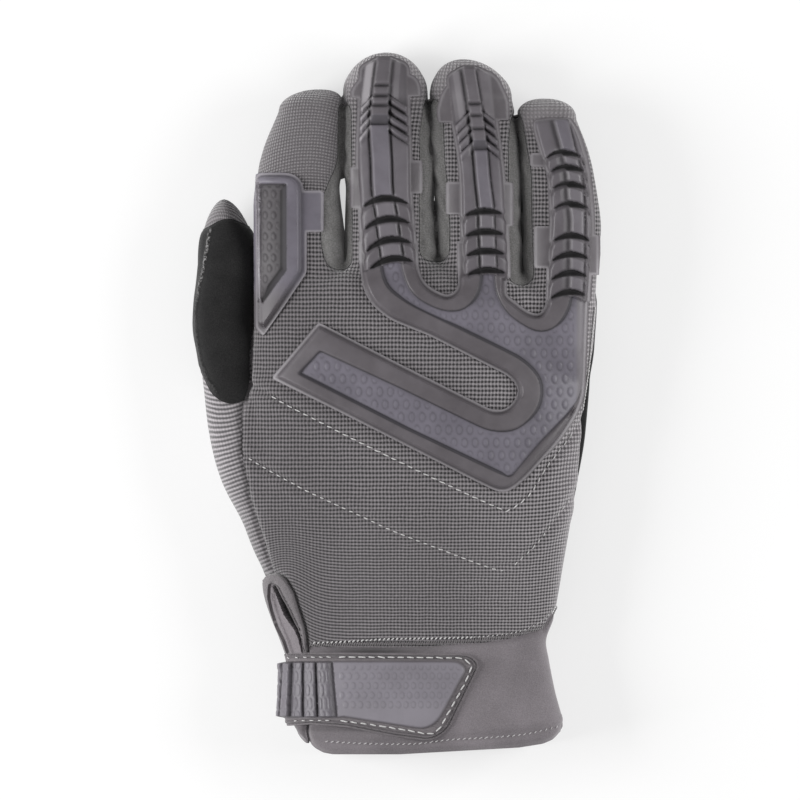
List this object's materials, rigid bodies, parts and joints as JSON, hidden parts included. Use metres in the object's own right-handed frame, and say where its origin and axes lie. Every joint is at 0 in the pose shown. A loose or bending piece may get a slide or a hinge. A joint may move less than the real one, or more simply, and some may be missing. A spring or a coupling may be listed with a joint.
{
  "type": "tactical work glove, right hand",
  "caption": "Right-hand work glove lying palm down: knit back, moulded rubber guards on knuckles and fingers, suede thumb patch, wrist slit and padded closing strap.",
  "frame": {"origin": "centre of the glove's footprint on the surface that the palm rests on", "axes": "+Y from the cuff to the fingertips, +X from the thumb side to the little finger side, +Z out of the back of the hand"},
  "size_m": [0.1411, 0.2425, 0.0373],
  "materials": {
    "back_knit": "ribbed stretch knit, matte",
    "side_fabric": "smooth fine stretch fabric, matte",
    "palm_leather": "synthetic suede, matte black",
    "cuff_neoprene": "brushed jersey over foam, matte",
    "strap_webbing": "dense woven strap, matte",
    "guard_rubber": "moulded rubber, satin, with dimpled recesses"
  },
  "bodies": {
    "root": {"back_panel": "back_knit", "palm_panel": "palm_leather", "fourchette_index_middle": "side_fabric", "fourchette_middle_ring": "side_fabric", "fourchette_ring_little": "side_fabric", "thumb_panel": "back_knit", "thumb_patch": "palm_leather", "wrist_cuff": "cuff_neoprene", "slit_binding": "side_fabric", "wrist_strap": "strap_webbing", "strap_pad": "guard_rubber", "knuckle_guard": "guard_rubber", "index_guard": "guard_rubber"}
  },
  "joints": []
}
